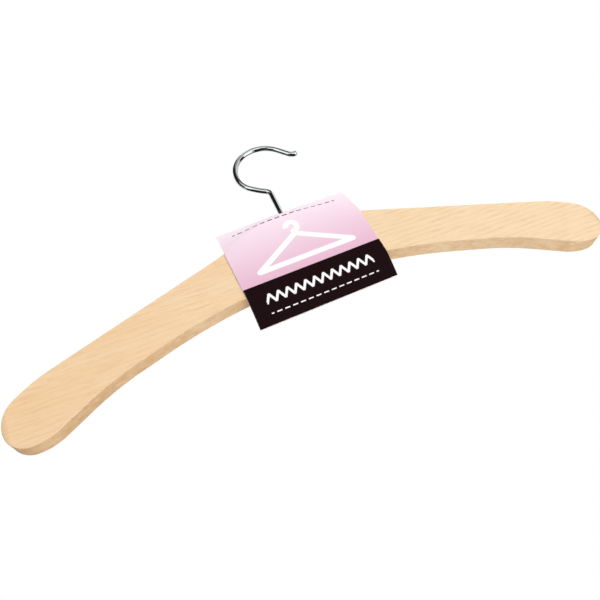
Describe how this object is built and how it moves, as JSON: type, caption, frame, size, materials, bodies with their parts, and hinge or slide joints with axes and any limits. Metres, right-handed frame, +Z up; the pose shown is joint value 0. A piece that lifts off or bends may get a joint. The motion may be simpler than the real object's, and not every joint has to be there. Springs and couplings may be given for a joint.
{
  "type": "clothes hanger",
  "caption": "Flat wooden clothes hanger with a boomerang-shaped beech body, a plated wire hook that swivels in it, and a folded card sleeve over the middle.",
  "frame": {"origin": "where the rail bears inside the top of the hook's loop, straight above the shank", "axes": "+X from tip to tip, the hook's mouth on the +X side; +Z up along the shank; the front of the hanger faces -Y"},
  "size_m": [0.44, 0.0158, 0.1842],
  "materials": {
    "beech": "planed and sanded, clear matt",
    "hook_plating": "bright plated steel wire",
    "washer_steel": "plain zinc-plated steel",
    "printed_card": "coated paperboard, printed pink above a dark band"
  },
  "bodies": {
    "hook": {"wire_hook": "hook_plating"},
    "hanger": {"wooden_body": "beech", "hook_washer": "washer_steel", "card_sleeve": "printed_card"}
  },
  "joints": [
    {"name": "hook_swivel", "type": "hinge", "parent": "hook", "child": "hanger", "pos_m": [0, 0, -0.1], "axis": [0, 0, 1], "continuous": true}
  ]
}
